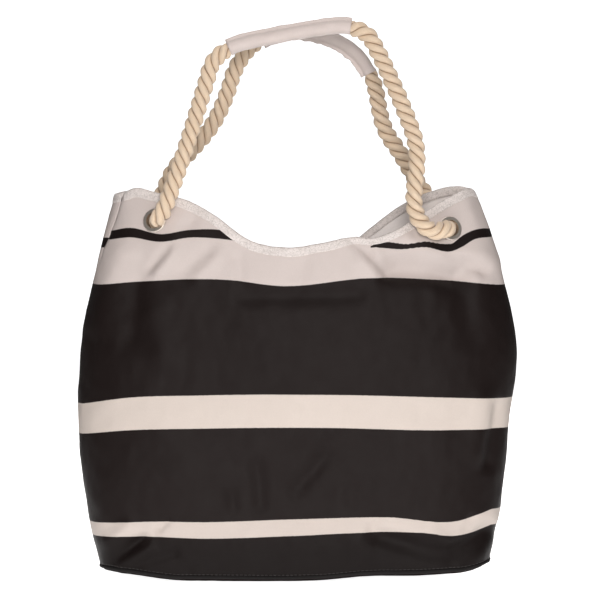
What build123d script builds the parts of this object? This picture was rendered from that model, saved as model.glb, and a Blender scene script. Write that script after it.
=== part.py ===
"""Soft beach tote with a boxed bottom, a dipped rim and two swinging rope handles.

X runs along the bag's width, -Y is its front, +Z is up. The origin is the middle of the base,
on the ground. All sizes are in millimetres.
"""

import math
import os

from build123d import *

os.makedirs("parts", exist_ok=True)

# Bag body: each level is its height, half width, half depth and squareness.
LEVELS = (
    (0, 190, 70, 5.0),
    (60, 203, 77, 4.2),
    (150, 216, 81, 3.4),
    (235, 218, 79, 2.9),
    (315, 201.5, 69, 2.4),
    (402, 173.5, 51, 2.1),
)
OUTLINE_STEPS = 12
OUTLINE_EASE = 0.3

# The rim dips in the middle: these are its points on one side, as distance out and height.
RIM_POINTS = ((45, 340), (90, 359), (130, 381), (178, 396), (230, 408))
RIM_DIP = 336
ABOVE_RIM_HEIGHT = 500
ABOVE_RIM_DEPTH = 120

# Cloth layers, each measured inwards from the outside of the bag.
CANVAS = 1.6
TAPE_OUTSIDE = 1.7
TAPE_INSIDE = 2.7
LINING_OUTSIDE = 2.9
LINING_INSIDE = 3.7
HEM_FLAP = 0.7
HEM_WIDTH = 10
HEM_TOP = 1.4

# Seam between the base and the walls.
BASE_CLOTH = 1.8
BASE_EDGE = 4
WALL_START = 7
PIPING_PROUD = 1.2
TAPE_HALF_WIDTH = 6
TAPE_START = 10
LINING_GAP = 0.3

# Handles.
ROPE_RADIUS = 8.3
KNOT_RADIUS = 17
KNOT_TAIL = 14
KNOT_GAP = 0.5
SLEEVE_INSIDE = 8.5
SLEEVE_OUTSIDE = 9.4
PIVOT_GAP = 13
PIVOT_REACH = 15
NECK_REACH = 23
ARC_SHARE = 0.45
SLEEVE_STEPS = 400
SLEEVE_LOWEST = 500

# Eyelets and the washers that they are set against.
EYELET_BORE = 8.7
EYELET_BARREL = 9.5
EYELET_RIM = 12.2
EYELET_RIM_THICK = 1.6
EYELET_ROUNDING = 0.96
EYELET_LIFT = 0.3
BARREL_PAST_WASHER = 0.6
WASHER_GAP = 0.3
WASHER_CLEARANCE = 0.05
WASHER_THICK = 1.0
CLOTH_HOLE = 9.7
HOLE_REACH = 12
RAY_START = -200

# Eyelet centres as seen from the front: across and up.
FRONT_EYELETS = {"left": (-143, 361.5), "right": (153, 353.5)}
BACK_EYELETS = {"left": (-148, 358), "right": (148, 358)}

# Where the rope's end from the front right eyelet, which lies along the cloth, meets its handle.
BENT_PIVOT = Vector(128, -64, 358)

# Corners of each handle's line between its two pivots, front handle first.
FRONT_ROUTE = (
    (-121, -54, 407),
    (-108.5, -53, 444),
    (-93.5, -52, 493),
    (-81.5, -52, 533.5),
    (-10.5, -52, 548),
    (64.5, -53, 560),
    (86, -54, 520.5),
    (107.5, -56, 471.5),
    (121.5, -59, 432.5),
    (115.5, -62, 387),
)
BACK_ROUTE = (
    (-128, 54, 410),
    (-113, 53, 424),
    (-78.5, 52, 464),
    (-58, 52, 533.5),
    (-8.5, 52, 556),
    (46, 52, 543),
    (77.5, 52, 509),
    (85.5, 53, 454),
    (104.5, 54, 428),
    (123, 55, 395),
)
FRONT_SLEEVE = (-70, 54)
BACK_SLEEVE = (-38, 74)



def outline_points(half_width, half_depth, squareness):
    """Points along the front half of a rounded outline, from its left end to its right end."""
    points = []
    for step in range(OUTLINE_STEPS + 1):
        turn = math.pi * (1 - step / OUTLINE_STEPS)
        turn -= OUTLINE_EASE * math.sin(2 * turn)
        across = math.copysign(abs(math.cos(turn)) ** (2 / squareness), math.cos(turn))
        forward = abs(math.sin(turn)) ** (2 / squareness)
        points.append((half_width * across, -half_depth * forward))
    points[0] = (-half_width, 0)
    points[-1] = (half_width, 0)
    return points


def front_half(inset):
    """Front half of the bag's shape as a solid, its outside moved in by inset."""
    with BuildPart() as form:
        for height, half_width, half_depth, squareness in LEVELS:
            with BuildSketch(Plane.XY.offset(height)):
                with BuildLine():
                    points = outline_points(half_width - inset, half_depth - inset, squareness)
                    curve = Spline(*points)
                    Line(curve @ 1, curve @ 0)
                make_face()
        loft()
    return form.part


def above_rim(drop):
    """Everything above the dipped rim, which is lowered by drop."""
    left = [(-across, height - drop) for across, height in reversed(RIM_POINTS)]
    right = [(across, height - drop) for across, height in RIM_POINTS]
    far_out = RIM_POINTS[-1][0]
    with BuildPart() as region:
        with BuildSketch(Plane.XZ):
            with BuildLine():
                rim = Spline(*left, (0, RIM_DIP - drop), *right)
                Polyline(rim @ 1, (far_out, ABOVE_RIM_HEIGHT), (-far_out, ABOVE_RIM_HEIGHT), rim @ 0)
            make_face()
        extrude(amount=ABOVE_RIM_DEPTH, both=True)
    return region.part


def base_plate(inset, bottom, top):
    """Flat plate with the outline of the base, moved in by inset."""
    _, half_width, half_depth, squareness = LEVELS[0]
    points = outline_points(half_width - inset, half_depth - inset, squareness)
    with BuildPart() as plate:
        with BuildSketch(Plane.XY.offset(bottom)):
            with BuildLine():
                curve = Spline(*points)
                Line(curve @ 1, curve @ 0)
            make_face()
            mirror(about=Plane.XZ)
        extrude(amount=top - bottom)
    return plate.part


def seat_plane(across, height, side):
    """Plane on the outside of the bag at an eyelet, its Z pointing out of the cloth."""
    wall = outside_form.faces().sort_by(Face.area)[-1]
    hits = wall.find_intersection_points(Axis((across, RAY_START, height), (0, 1, 0)))
    point, normal = min(hits, key=lambda hit: hit[0].Y)
    if normal.Y > 0:
        normal = normal * -1
    if side == "back":
        point = Vector(point.X, -point.Y, point.Z)
        normal = Vector(normal.X, -normal.Y, normal.Z)
    return Plane(origin=point, x_dir=(0, 0, 1), z_dir=normal)


def corner_radii(points):
    """Radius of each corner's arc: as large as its two runs allow."""
    radii = []
    for before, corner, after in zip(points, points[1:], points[2:]):
        first = corner - before
        second = after - corner
        half_turn = math.radians(first.get_angle(second)) / 2
        radii.append(ARC_SHARE * min(first.length, second.length) / math.tan(half_turn))
    return radii


def rope_tube(points, name):
    """Round rope along straight runs joined by arcs, with its path's wire."""
    points = [Vector(*point) for point in points]
    radii = corner_radii(points)
    with BuildPart() as tube:
        with BuildLine() as line:
            FilletPolyline(*points, radius=radii)
        with BuildSketch(Plane(origin=points[0], z_dir=points[1] - points[0])):
            Circle(ROPE_RADIUS)
        sweep()
    path = line.wires()[0]
    ideal = math.pi * ROPE_RADIUS**2 * path.length
    print(name, "radii", [round(radius) for radius in radii])
    print(name, "length", round(path.length, 1), "volume share", round(tube.part.volume / ideal, 4))
    return tube.part, path


def sleeve_tube(path, left, right):
    """Cloth grip round the part of the rope between two places across the bag."""
    places = [step / SLEEVE_STEPS for step in range(SLEEVE_STEPS + 1)]
    high = [place for place in places if (path @ place).Z > SLEEVE_LOWEST]
    inside = [place for place in high if left <= (path @ place).X <= right]
    covered = path.trim(inside[0], inside[-1])
    with BuildPart() as sleeve:
        with BuildLine():
            add(covered)
        with BuildSketch(Plane(origin=covered @ 0, z_dir=covered % 0)):
            Circle(SLEEVE_OUTSIDE)
            Circle(SLEEVE_INSIDE, mode=Mode.SUBTRACT)
        sweep()
    return sleeve.part


def save(part, name):
    """Label a finished piece and write it to its own file."""
    part.label = name
    export_step(part, "parts/" + name + ".step")


# Shapes that the cloth pieces are cut from.
outside_form = front_half(0)
canvas_inside = front_half(CANVAS)
tape_outside = front_half(TAPE_OUTSIDE)
tape_inside = front_half(TAPE_INSIDE)
lining_outside = front_half(LINING_OUTSIDE)
lining_inside = front_half(LINING_INSIDE)
hem_outside = front_half(-HEM_FLAP)
hem_inside = front_half(LINING_INSIDE + HEM_FLAP)
over_rim = above_rim(0)
over_cloth = above_rim(HEM_TOP)
over_hem = above_rim(HEM_WIDTH)

# All the cloth layers together, up to where the hem folds over them.
with BuildPart() as cloth_edge:
    add(outside_form)
    add(lining_inside, mode=Mode.SUBTRACT)
    add(over_cloth, mode=Mode.SUBTRACT)

# Where each eyelet sits.
seats = {}
for side, places in (("front", FRONT_EYELETS), ("back", BACK_EYELETS)):
    for end, (across, height) in places.items():
        seats[side, end] = seat_plane(across, height, side)

# Canvas panels, linings and hem bands: the front one is cut from the form, the back one mirrored.
for side in ("front", "back"):
    with BuildPart() as panel:
        add(outside_form)
        add(canvas_inside, mode=Mode.SUBTRACT)
        add(over_cloth, mode=Mode.SUBTRACT)
        split(bisect_by=Plane.XY.offset(WALL_START), keep=Keep.TOP)
        if side == "back":
            mirror(about=Plane.XZ, mode=Mode.REPLACE)
        for end in ("left", "right"):
            with BuildSketch(seats[side, end]):
                Circle(CLOTH_HOLE)
            extrude(amount=HOLE_REACH, both=True, mode=Mode.SUBTRACT)
    save(panel.part, side + "_panel")

    with BuildPart() as lining:
        add(lining_outside)
        add(lining_inside, mode=Mode.SUBTRACT)
        add(over_cloth, mode=Mode.SUBTRACT)
        split(bisect_by=Plane.XY.offset(WALL_START), keep=Keep.TOP)
        if side == "back":
            mirror(about=Plane.XZ, mode=Mode.REPLACE)
        for end in ("left", "right"):
            with BuildSketch(seats[side, end]):
                Circle(CLOTH_HOLE)
            extrude(amount=HOLE_REACH, both=True, mode=Mode.SUBTRACT)
    save(lining.part, side + "_lining")

    with BuildPart() as hem:
        add(hem_outside)
        add(hem_inside, mode=Mode.SUBTRACT)
        add(over_rim, mode=Mode.SUBTRACT)
        add(over_hem, mode=Mode.INTERSECT)
        add(cloth_edge.part, mode=Mode.SUBTRACT)
        if side == "back":
            mirror(about=Plane.XZ, mode=Mode.REPLACE)
    save(hem.part, side + "_hem")

# Base: a shallow tray of cloth, its lining, and the piping between it and the walls.
with BuildPart() as base_panel:
    add(base_plate(0, 0, BASE_EDGE))
    add(base_plate(CANVAS, BASE_CLOTH, BASE_EDGE), mode=Mode.SUBTRACT)
save(base_panel.part, "base_panel")

with BuildPart() as base_lining:
    add(base_plate(LINING_OUTSIDE, BASE_CLOTH + LINING_GAP, WALL_START - LINING_GAP))
    lining_floor = BASE_CLOTH + LINING_GAP + LINING_INSIDE - LINING_OUTSIDE
    add(base_plate(LINING_INSIDE, lining_floor, WALL_START - LINING_GAP), mode=Mode.SUBTRACT)
save(base_lining.part, "base_lining")

with BuildPart() as base_piping:
    add(base_plate(-PIPING_PROUD, BASE_EDGE, WALL_START))
    add(base_plate(CANVAS, BASE_EDGE, WALL_START), mode=Mode.SUBTRACT)
save(base_piping.part, "base_piping")

# Tape over the inside of each side seam.
for end, sign in (("left", -1), ("right", 1)):
    with BuildPart() as seam:
        add(tape_outside)
        add(tape_inside, mode=Mode.SUBTRACT)
        add(over_cloth, mode=Mode.SUBTRACT)
        split(bisect_by=Plane.XY.offset(TAPE_START), keep=Keep.TOP)
        split(bisect_by=Plane.XZ.offset(TAPE_HALF_WIDTH), keep=Keep.BOTTOM)
        split(bisect_by=Plane.YZ, keep=Keep.TOP if sign > 0 else Keep.BOTTOM)
        mirror(about=Plane.XZ)
    save(seam.part, end + "_side_seam")

# Eyelets, washers, and the rope ends that their knots hold.
pivots = {}
for (side, end), seat in seats.items():
    out = seat.z_dir
    with BuildPart() as eyelet:
        with BuildSketch(seat.offset(EYELET_LIFT)):
            Circle(EYELET_RIM)
        extrude(amount=EYELET_RIM_THICK)
        with BuildSketch(seat.offset(EYELET_LIFT)):
            Circle(EYELET_BARREL)
        extrude(amount=-(EYELET_LIFT * 2 + LINING_INSIDE + WASHER_THICK + BARREL_PAST_WASHER))
        with BuildSketch(seat):
            Circle(EYELET_BORE)
        extrude(amount=HOLE_REACH, both=True, mode=Mode.SUBTRACT)
        rim = eyelet.edges().filter_by(GeomType.CIRCLE).sort_by(Edge.length)[-2:]
        fillet(rim.sort_by(lambda edge: edge.center().dot(out))[-1], EYELET_ROUNDING)
    save(eyelet.part, side + "_" + end + "_eyelet")

    with BuildPart() as washer:
        with BuildSketch(seat.offset(-(LINING_INSIDE + EYELET_LIFT + WASHER_GAP))):
            Circle(EYELET_RIM)
            Circle(EYELET_BARREL + WASHER_CLEARANCE, mode=Mode.SUBTRACT)
        extrude(amount=-WASHER_THICK)
    save(washer.part, side + "_" + end + "_washer")

    knot_depth = LINING_INSIDE + EYELET_LIFT * 2 + WASHER_THICK + KNOT_GAP + KNOT_RADIUS
    knot_centre = seat.origin - out * knot_depth
    if (side, end) == ("front", "right"):
        turn_point = seat.origin + out * NECK_REACH
        pivot = BENT_PIVOT
        neck = FilletPolyline(knot_centre, turn_point, pivot, radius=ROPE_RADIUS * 2)
    else:
        pivot = seat.origin + out * PIVOT_REACH
        neck = Line(knot_centre, pivot)
    with BuildPart() as knot:
        with BuildLine():
            add(neck)
        with BuildSketch(Plane(origin=knot_centre, z_dir=out)):
            Circle(ROPE_RADIUS)
        sweep()
        with Locations(pivot):
            Sphere(ROPE_RADIUS)
        with Locations(knot_centre):
            Sphere(KNOT_RADIUS)
            Cylinder(ROPE_RADIUS, KNOT_RADIUS + KNOT_TAIL, align=(Align.CENTER, Align.CENTER, Align.MAX))
    pivots[side, end] = pivot
    save(knot.part, side + "_" + end + "_knot")

# Handles: each is one rope from pivot to pivot, with its grip sleeve.
for side, route, span in (("front", FRONT_ROUTE, FRONT_SLEEVE), ("back", BACK_ROUTE, BACK_SLEEVE)):
    start = pivots[side, "left"]
    finish = pivots[side, "right"]
    first = start + (Vector(*route[0]) - start).normalized() * PIVOT_GAP
    last = finish + (Vector(*route[-1]) - finish).normalized() * PIVOT_GAP
    rope, rope_path = rope_tube([first, *route, last], side + " handle")
    save(rope, side + "_handle_rope")
    save(sleeve_tube(rope_path, *span), side + "_sleeve")
    print(side, "pivots", start, finish)
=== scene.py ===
"""Striped beach tote: soft cloth shell, rope handles, grips, eyelets, seams and stitches.

Everything is in metres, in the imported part's frame: X across, -Y to the front, +Z up.
"""
import math

import bmesh
import bpy
import numpy as np
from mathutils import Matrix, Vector, noise


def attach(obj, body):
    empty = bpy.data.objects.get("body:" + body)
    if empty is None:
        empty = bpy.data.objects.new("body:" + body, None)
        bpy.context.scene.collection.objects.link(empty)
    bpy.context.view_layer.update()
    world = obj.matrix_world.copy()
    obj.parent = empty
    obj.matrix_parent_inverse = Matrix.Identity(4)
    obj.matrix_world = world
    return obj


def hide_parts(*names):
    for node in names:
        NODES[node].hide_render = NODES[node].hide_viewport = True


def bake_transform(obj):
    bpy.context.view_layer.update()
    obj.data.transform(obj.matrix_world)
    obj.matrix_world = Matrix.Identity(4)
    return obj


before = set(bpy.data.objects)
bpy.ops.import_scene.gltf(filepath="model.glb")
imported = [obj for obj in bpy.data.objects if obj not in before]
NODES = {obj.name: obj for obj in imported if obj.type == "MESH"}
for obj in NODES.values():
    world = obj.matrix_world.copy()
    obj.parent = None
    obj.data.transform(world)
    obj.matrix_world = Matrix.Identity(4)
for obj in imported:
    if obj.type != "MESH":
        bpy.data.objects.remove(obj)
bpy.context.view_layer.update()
SIDES = ("front", "back")
ENDS = ("left", "right")

# ---------------------------------------------------------------- sizes, in metres
BASE_SEAM = 0.0055
CANVAS = 0.0013
LINING_DEPTH = 0.0024
LINING_THICK = 0.0005
HEM_WIDTH = ((-0.19, 0.0088), (-0.06, 0.0082), (0.04, 0.0078), (0.075, 0.0062), (0.11, 0.0074),
             (0.19, 0.0084))
HEM_PROUD = 0.00045
HEM_INSIDE = 0.0032
PIPING_RADIUS = 0.0019
PIPING_SIDES = 12
ROPE_CORE = 0.0041
STRAND_RADIUS = 0.0048
ROPE_LAY = 0.033
YARNS = 13
YARN_LAY = 0.0125
GRIP_RADIUS = 0.0064
GRIP_SQUEEZE = 0.38
GRIP_FIN = 0.0036
COLUMNS = 201
ROWS = 151

# Half widths, half depths and squareness of the bag by height.
LEFT_WIDTH = ((0.000, 0.194), (0.04, 0.206), (0.1, 0.216), (0.185, 0.2215), (0.265, 0.214), (0.335, 0.197),
              (0.4, 0.181))
RIGHT_WIDTH = ((0.000, 0.187), (0.04, 0.199), (0.1, 0.209), (0.18, 0.2175), (0.23, 0.222), (0.3, 0.209),
               (0.36, 0.1925), (0.4, 0.175))
HALF_DEPTH = ((0.000, 0.07), (0.06, 0.077), (0.15, 0.081), (0.235, 0.078), (0.315, 0.068), (0.4, 0.05))
SQUARENESS = ((0.000, 4.6), (0.06, 3.5), (0.15, 2.8), (0.235, 2.5), (0.315, 2.35), (0.4, 2.1))
# How far the left side seam slips round to the front near the top.
SEAM_SLIP = ((0.000, 0.0), (0.25, 0.0), (0.29, 0.004), (0.32, 0.012), (0.345, 0.0175), (0.4, 0.02))
# How far the bottom's edge lifts off the ground, by place across.
BASE_LIFT = {
    "front": ((-0.193, 0.008), (-0.158, 0.0045), (-0.118, 0.0), (-0.1, 0.0), (0.005, 0.0), (0.022, 0.0005),
              (0.06, 0.004), (0.14, 0.006), (0.17, 0.0085), (0.19, 0.015)),
    "back": ((-0.193, 0.008), (-0.13, 0.001), (-0.1, 0.0), (0.02, 0.0), (0.06, 0.003), (0.14, 0.0055),
             (0.17, 0.0085), (0.19, 0.015)),
}

# Rim height by place across, for each panel.
RIM = {
    "front": ((-0.182, 0.387), (-0.174, 0.389), (-0.166, 0.3925), (-0.142, 0.389), (-0.11, 0.381),
              (-0.083, 0.3665), (-0.05, 0.343), (-0.012, 0.3345), (0.025, 0.339), (0.058, 0.345),
              (0.073, 0.3435), (0.095, 0.35), (0.127, 0.369), (0.16, 0.3875), (0.174, 0.393), (0.182, 0.389)),
    "back": ((-0.184, 0.3865), (-0.174, 0.389), (-0.16, 0.3865), (-0.12, 0.378), (-0.09, 0.359),
             (-0.06, 0.3395), (-0.03, 0.3285), (0.000, 0.3265), (0.03, 0.3285), (0.055, 0.3355),
             (0.075, 0.351), (0.104, 0.3725), (0.134, 0.3875), (0.17, 0.3935), (0.182, 0.389)),
}

# Edges of the printed stripes from the bottom up: nominal height, then height by place across.
STRIPE_EDGES = {
    "front": (
        (0.0000, ((-0.2, 0.0000), (0.2, 0.0000))),
        (0.0462, ((-0.198, 0.045), (-0.15, 0.046), (-0.095, 0.0445), (0.000, 0.0475), (0.075, 0.051),
                  (0.13, 0.05), (0.157, 0.047), (0.175, 0.0495), (0.195, 0.056))),
        (0.0635, ((-0.198, 0.0585), (-0.145, 0.061), (-0.09, 0.061), (0.000, 0.064), (0.09, 0.066),
                  (0.165, 0.0625), (0.183, 0.068), (0.195, 0.072))),
        (0.1545, ((-0.216, 0.147), (-0.18, 0.1515), (-0.09, 0.155), (0.02, 0.156), (0.13, 0.153),
                  (0.205, 0.153))),
        (0.1885, ((-0.216, 0.177), (-0.18, 0.1835), (-0.09, 0.188), (0.02, 0.189), (0.13, 0.186),
                  (0.205, 0.183))),
        (0.3005, ((-0.198, 0.297), (-0.16, 0.3005), (-0.07, 0.303), (-0.016, 0.297), (0.074, 0.305),
                  (0.14, 0.3025), (0.202, 0.2965))),
        (0.3395, ((-0.188, 0.342), (-0.17, 0.3445), (-0.137, 0.3405), (-0.107, 0.345), (-0.08, 0.344),
                  (-0.045, 0.34), (0.000, 0.337), (0.074, 0.336), (0.102, 0.3335), (0.128, 0.3355),
                  (0.155, 0.331), (0.165, 0.335), (0.178, 0.3425), (0.193, 0.3445))),
        (0.3492, ((-0.188, 0.3505), (-0.17, 0.354), (-0.137, 0.348), (-0.107, 0.3525), (-0.064, 0.3495),
                  (-0.045, 0.34), (0.000, 0.337), (0.073, 0.3365), (0.086, 0.34), (0.11, 0.338),
                  (0.128, 0.3405), (0.147, 0.338), (0.155, 0.3385), (0.165, 0.346), (0.188, 0.353),
                  (0.193, 0.3525))),
        (0.41, ((-0.2, 0.41), (0.2, 0.41))),
    ),
    "back": (
        (0.0000, ((-0.2, 0.0000), (0.2, 0.0000))),
        (0.0462, ((-0.198, 0.045), (-0.15, 0.045), (0.000, 0.046), (0.12, 0.048), (0.195, 0.056))),
        (0.0635, ((-0.198, 0.0585), (-0.15, 0.061), (0.000, 0.0635), (0.12, 0.0645), (0.195, 0.072))),
        (0.1545, ((-0.216, 0.147), (-0.15, 0.153), (0.000, 0.156), (0.15, 0.154), (0.205, 0.153))),
        (0.1885, ((-0.216, 0.177), (-0.15, 0.1855), (0.000, 0.189), (0.15, 0.187), (0.205, 0.183))),
        (0.3005, ((-0.198, 0.297), (-0.08, 0.3015), (0.000, 0.298), (0.1, 0.302), (0.202, 0.2965))),
        (0.3395, ((-0.19, 0.3335), (-0.18, 0.336), (-0.14, 0.339), (-0.08, 0.34), (0.000, 0.337),
                  (0.08, 0.338), (0.14, 0.336), (0.193, 0.3445))),
        (0.3492, ((-0.19, 0.3435), (-0.18, 0.345), (-0.14, 0.348), (-0.08, 0.349), (0.000, 0.345),
                  (0.08, 0.347), (0.14, 0.344), (0.193, 0.3525))),
        (0.41, ((-0.2, 0.41), (0.2, 0.41))),
    ),
}
# Where the thin top stripe shows on the front, by place across: 1 is there, 0 is not.
THIN_STRIPE = {
    "front": ((-0.2, 1.0), (-0.047, 1.0), (-0.044, 0.0), (0.0715, 0.0), (0.0745, 1.0), (0.2, 1.0)),
    "back": ((-0.2, 1.0), (0.2, 1.0)),
}

# ---------------------------------------------------------------- camera
CAMERA_REACH = 6.0
CAMERA_TILT = 2.5
VIEW_WIDTH = 0.606
VIEW_CENTRE = Vector((0.0025, 0.0, 0.28))


def make_camera():
    """Camera in front of the bag, a little above its middle."""
    data = bpy.data.cameras.new("camera")
    data.sensor_width = 36.0
    data.lens = data.sensor_width * CAMERA_REACH / VIEW_WIDTH
    data.clip_end = 60.0
    camera = bpy.data.objects.new("camera", data)
    tilt = math.radians(CAMERA_TILT)
    back = Vector((0.0, -math.cos(tilt), math.sin(tilt)))
    camera.location = VIEW_CENTRE + back * CAMERA_REACH
    camera.rotation_euler = (-back).to_track_quat("-Z", "Y").to_euler()
    bpy.context.scene.collection.objects.link(camera)
    bpy.context.scene.camera = camera


make_camera()

# ---------------------------------------------------------------- rope routes
# Corners of each handle's line between its pivots, as in the part.
ROUTE = {
    "front": (
        (-0.121, -0.054, 0.407), (-0.1085, -0.053, 0.444), (-0.0935, -0.052, 0.493), (-0.0815, -0.052, 0.5335),
        (-0.0105, -0.052, 0.548), (0.0645, -0.053, 0.56), (0.086, -0.054, 0.5205), (0.1075, -0.056, 0.4715),
        (0.1215, -0.059, 0.4325), (0.1155, -0.062, 0.387),
    ),
    "back": (
        (-0.128, 0.054, 0.41), (-0.113, 0.053, 0.424), (-0.0785, 0.052, 0.464), (-0.058, 0.052, 0.5335),
        (-0.0085, 0.052, 0.556), (0.046, 0.052, 0.543), (0.0775, 0.052, 0.509), (0.0855, 0.053, 0.454),
        (0.1045, 0.054, 0.428), (0.123, 0.055, 0.395),
    ),
}
GRIP_SPAN = {"front": (-0.0695, 0.0535), "back": (-0.038, 0.074)}
GRIP_LOWEST = 0.5


def eyelet_seat(side, end):
    """Centre of the face that an eyelet's rim sits on, and the direction that it faces."""
    points = np.array([v.co for v in NODES[f"{side}_{end}_eyelet"].data.vertices], float)
    centre = points.mean(0)
    out = np.linalg.svd(points - centre, full_matrices=False)[2][2]
    out = out if out[1] * (-1 if side == "front" else 1) > 0 else -out
    heights = (points - centre) @ out
    radii = np.linalg.norm(points - centre - np.outer(heights, out), axis=1)
    return Vector(centre + out * heights[radii > 0.011].min()), Vector(out)


SEATS = {(side, end): eyelet_seat(side, end) for side in SIDES for end in ENDS}


def nurbs_points(points, resolution):
    """Points along the smooth line that a route's corners control."""
    curve = bpy.data.curves.new("route", "CURVE")
    curve.dimensions = "3D"
    curve.resolution_u = resolution
    spline = curve.splines.new("NURBS")
    spline.points.add(len(points) - 1)
    for place, point in zip(spline.points, points):
        place.co = (*point, 1.0)
    spline.order_u = 3
    spline.use_endpoint_u = True
    holder = bpy.data.objects.new("route", curve)
    mesh = bpy.data.meshes.new_from_object(holder)
    line = np.array([v.co for v in mesh.vertices], float)
    bpy.data.objects.remove(holder)
    bpy.data.meshes.remove(mesh)
    bpy.data.curves.remove(curve)
    return line


def handle_line(side):
    """A handle rope's centre line, from inside its left eyelet to inside its right one."""
    left, left_out = SEATS[side, "left"]
    right, right_out = SEATS[side, "right"]
    inner = 0.014
    if side == "front":
        start = (left - left_out * inner, left, Vector((-0.1355, -0.054, 0.367)))
        finish = (Vector((0.118, -0.065, 0.366)), Vector((0.133, -0.065, 0.3505)),
                  Vector((0.1475, -0.056, 0.3535)), right, right - right_out * inner)
    else:
        start = (left - left_out * inner, left, Vector((-0.145, 0.053, 0.366)))
        finish = (Vector((0.143, 0.053, 0.37)), right, right - right_out * inner)
    return nurbs_points([*map(tuple, start), *ROUTE[side], *map(tuple, finish)], 28)


# ---------------------------------------------------------------- small mathematics
def smooth(points, at):
    """Smooth curve through given points, read at an array of places."""
    xs = np.array([p[0] for p in points], float)
    ys = np.array([p[1] for p in points], float)
    at = np.clip(np.asarray(at, float), xs[0], xs[-1])
    if len(xs) == 2:
        return ys[0] + (ys[1] - ys[0]) * (at - xs[0]) / (xs[1] - xs[0])
    slopes = np.gradient(ys, xs)
    k = np.clip(np.searchsorted(xs, at, side="right") - 1, 0, len(xs) - 2)
    span = xs[k + 1] - xs[k]
    t = (at - xs[k]) / span
    return (ys[k] * (1 + 2 * t) * (1 - t) ** 2 + ys[k + 1] * t * t * (3 - 2 * t)
            + slopes[k] * span * t * (1 - t) ** 2 + slopes[k + 1] * span * t * t * (t - 1))


def ease(t):
    """0 to 1 with flat ends."""
    t = np.clip(t, 0.0, 1.0)
    return t * t * (3 - 2 * t)


def unit(v):
    """Vectors of length one along the last axis."""
    return v / np.maximum(np.linalg.norm(v, axis=-1, keepdims=True), 1e-12)


def noise_field(points, scale, seed):
    """Gradient noise at an array of points, about -1 to 1."""
    offset = Vector((seed * 7.31, seed * 3.17, seed * 5.77))
    flat = np.asarray(points, float).reshape(-1, 3) / np.array(scale, float)
    values = [noise.noise(Vector(p) + offset) for p in flat]
    return np.array(values).reshape(np.shape(points)[:-1])


def fold(x, z, x0, z0, x1, z1, width, depth):
    """Height of a fold line between two places: a ridge if depth is over 0, a valley if under."""
    dx, dz = x1 - x0, z1 - z0
    length = math.hypot(dx, dz)
    along = ((x - x0) * dx + (z - z0) * dz) / length
    aside = ((x - x0) * dz - (z - z0) * dx) / length
    fade = ease((along + width) / (2 * width)) * ease((length + width - along) / (2 * width))
    return depth * np.exp(-(aside / width) ** 2) * fade


# ---------------------------------------------------------------- plain shape of the body
HEIGHTS = np.linspace(0.0, 0.405, 136)
SHARES = np.linspace(0.0, 1.0, 481)


def half_outline(z):
    """Front half of the outline at a height, evenly spaced from left to right, and its length."""
    left, right = smooth(LEFT_WIDTH, z), smooth(RIGHT_WIDTH, z)
    depth, power = smooth(HALF_DEPTH, z), smooth(SQUARENESS, z)
    turn = np.linspace(0.0, math.pi, 1801)
    x, y = -np.cos(turn), -np.sin(turn)
    width = np.where(x < 0, left, right)
    reach = (np.abs(x / width) ** power + np.abs(y / depth) ** power) ** (-1 / power)
    line = np.stack([x * reach, y * reach], 1)
    along = np.concatenate([[0.0], np.cumsum(np.linalg.norm(np.diff(line, axis=0), axis=1))])
    places = SHARES * along[-1]
    return np.stack([np.interp(places, along, line[:, k]) for k in (0, 1)], 1), along[-1]


OUTLINES = [half_outline(z) for z in HEIGHTS]
OUTLINE_TABLE = np.array([line for line, _ in OUTLINES])
OUTLINE_LENGTHS = np.array([length for _, length in OUTLINES])


def shell_point(share, z):
    """Point of the plain body: share is -1 at the right, 0 at the left by the back, 1 at the right again."""
    share, z = np.broadcast_arrays(np.asarray(share, float), np.asarray(z, float))
    h = np.clip(z / HEIGHTS[1], 0, len(HEIGHTS) - 1.001)
    c = np.clip(np.abs(share), 0, 1) * (len(SHARES) - 1.001)
    hi, ci = h.astype(int), c.astype(int)
    hf, cf = (h - hi)[..., None], (c - ci)[..., None]
    low = OUTLINE_TABLE[hi, ci] * (1 - cf) + OUTLINE_TABLE[hi, ci + 1] * cf
    high = OUTLINE_TABLE[hi + 1, ci] * (1 - cf) + OUTLINE_TABLE[hi + 1, ci + 1] * cf
    flat = low * (1 - hf) + high * hf
    y = np.where(share < 0, -flat[..., 1], flat[..., 1])
    return np.stack([flat[..., 0], y, z], -1)


def share_of(side, s, z):
    """Share round the body of a place across a panel, 0 at its left seam and 1 at its right one."""
    slip = smooth(SEAM_SLIP, z) / np.interp(z, HEIGHTS, OUTLINE_LENGTHS)
    if side == "front":
        return slip + s * (1 - slip)
    return slip - s * (1 + slip)


def grid_normals(grid, side):
    """Outward normals of a panel's grid of points."""
    across = np.gradient(grid, axis=1)
    up = np.gradient(grid, axis=0)
    normal = np.cross(across, up)
    return unit(normal if side == "front" else -normal)


# ---------------------------------------------------------------- folds and creases
FOLD_STRENGTH = 1.7
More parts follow.
